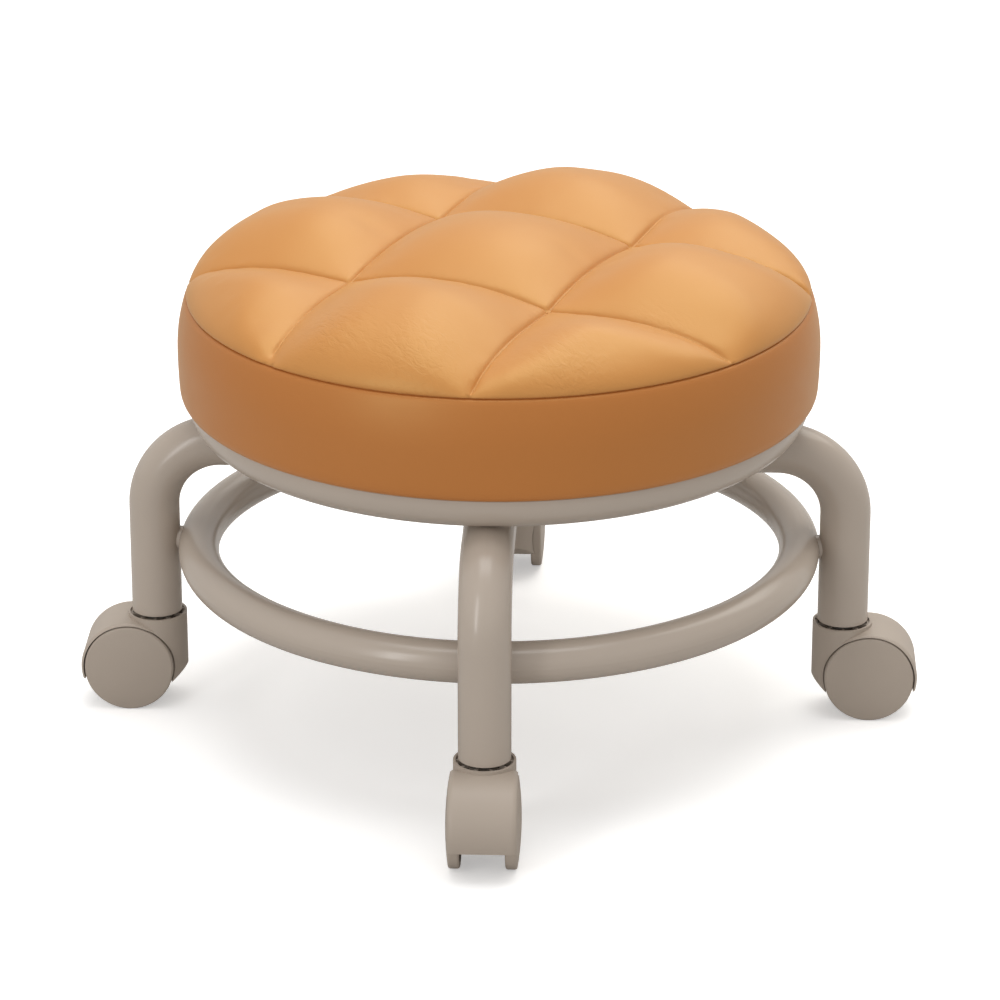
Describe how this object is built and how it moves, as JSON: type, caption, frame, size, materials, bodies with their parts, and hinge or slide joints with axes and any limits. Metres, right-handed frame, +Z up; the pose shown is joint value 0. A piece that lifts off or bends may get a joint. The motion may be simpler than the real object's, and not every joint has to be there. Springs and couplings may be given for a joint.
{
  "type": "pedicure stool",
  "caption": "Low round stool with a tufted leather-look cushion in a steel pan, bent-tube legs tied by a foot ring, and twin-wheel swivel casters.",
  "frame": {"origin": "on the floor, at the centre of the stool under the seat", "axes": "+Z up; the four legs stand on the X and Y axes, and +Y is away from the viewer"},
  "size_m": [0.4182, 0.4182, 0.252],
  "materials": {
    "frame_paint": "warm taupe enamel on steel tube, soft gloss",
    "seat_leather": "orange tan synthetic leather, fine grain, satin",
    "foam": "open-cell polyurethane foam",
    "plywood": "raw plywood",
    "zinc_steel": "zinc plated steel",
    "nylon": "dark nylon",
    "caster_plastic": "warm taupe moulded nylon, satin"
  },
  "bodies": {
    "root": {"leg_right": "frame_paint", "leg_back": "frame_paint", "leg_left": "frame_paint", "leg_front": "frame_paint", "foot_ring": "frame_paint", "ring_welds": "frame_paint", "frame_hub": "frame_paint", "hub_welds": "frame_paint", "seat_pan": "frame_paint", "seat_board": "plywood", "foam_pad": "foam", "seat_cover_top": "seat_leather", "seat_cover_band": "seat_leather", "cover_staples": "zinc_steel", "tuft_ties": "nylon", "t_nuts": "zinc_steel", "frame_bolts": "zinc_steel", "spring_washers": "zinc_steel", "saddle_washers": "zinc_steel", "stem_socket_right": "nylon", "stem_socket_back": "nylon", "stem_socket_left": "nylon", "stem_socket_front": "nylon", "caster_stem_right": "zinc_steel", "caster_stem_back": "zinc_steel", "caster_stem_left": "zinc_steel", "caster_stem_front": "zinc_steel", "stem_clips": "zinc_steel", "stem_grip_rings": "zinc_steel"},
    "caster_right": {"caster_hood_right": "caster_plastic", "caster_axle_right": "zinc_steel"},
    "wheel_a_right": {"wheel_a_right": "caster_plastic"},
    "wheel_b_right": {"wheel_b_right": "caster_plastic"},
    "caster_back": {"caster_hood_back": "caster_plastic", "caster_axle_back": "zinc_steel"},
    "wheel_a_back": {"wheel_a_back": "caster_plastic"},
    "wheel_b_back": {"wheel_b_back": "caster_plastic"},
    "caster_left": {"caster_hood_left": "caster_plastic", "caster_axle_left": "zinc_steel"},
    "wheel_a_left": {"wheel_a_left": "caster_plastic"},
    "wheel_b_left": {"wheel_b_left": "caster_plastic"},
    "caster_front": {"caster_hood_front": "caster_plastic", "caster_axle_front": "zinc_steel"},
    "wheel_a_front": {"wheel_a_front": "caster_plastic"},
    "wheel_b_front": {"wheel_b_front": "caster_plastic"}
  },
  "joints": [
    {"name": "swivel_right", "type": "hinge", "parent": "root", "child": "caster_right", "pos_m": [0.1716, 0, 0.044], "axis": [0, 0, 1], "continuous": true},
    {"name": "roll_a_right", "type": "hinge", "parent": "caster_right", "child": "wheel_a_right", "pos_m": [0.1851, 0, 0.0222], "axis": [0, 1, 0], "continuous": true},
    {"name": "roll_b_right", "type": "hinge", "parent": "caster_right", "child": "wheel_b_right", "pos_m": [0.1851, 0, 0.0222], "axis": [0, 1, 0], "continuous": true},
    {"name": "swivel_back", "type": "hinge", "parent": "root", "child": "caster_back", "pos_m": [0, 0.1716, 0.044], "axis": [0, 0, 1], "continuous": true},
    {"name": "roll_a_back", "type": "hinge", "parent": "caster_back", "child": "wheel_a_back", "pos_m": [0, 0.1851, 0.0222], "axis": [-1, 0, 0], "continuous": true},
    {"name": "roll_b_back", "type": "hinge", "parent": "caster_back", "child": "wheel_b_back", "pos_m": [0, 0.1851, 0.0222], "axis": [-1, 0, 0], "continuous": true},
    {"name": "swivel_left", "type": "hinge", "parent": "root", "child": "caster_left", "pos_m": [-0.1716, 0, 0.044], "axis": [0, 0, 1], "continuous": true},
    {"name": "roll_a_left", "type": "hinge", "parent": "caster_left", "child": "wheel_a_left", "pos_m": [-0.1851, 0, 0.0222], "axis": [0, -1, 0], "continuous": true},
    {"name": "roll_b_left", "type": "hinge", "parent": "caster_left", "child": "wheel_b_left", "pos_m": [-0.1851, 0, 0.0222], "axis": [0, -1, 0], "continuous": true},
    {"name": "swivel_front", "type": "hinge", "parent": "root", "child": "caster_front", "pos_m": [0, -0.1716, 0.044], "axis": [0, 0, 1], "continuous": true},
    {"name": "roll_a_front", "type": "hinge", "parent": "caster_front", "child": "wheel_a_front", "pos_m": [0, -0.1851, 0.0222], "axis": [1, 0, 0], "continuous": true},
    {"name": "roll_b_front", "type": "hinge", "parent": "caster_front", "child": "wheel_b_front", "pos_m": [0, -0.1851, 0.0222], "axis": [1, 0, 0], "continuous": true}
  ]
}
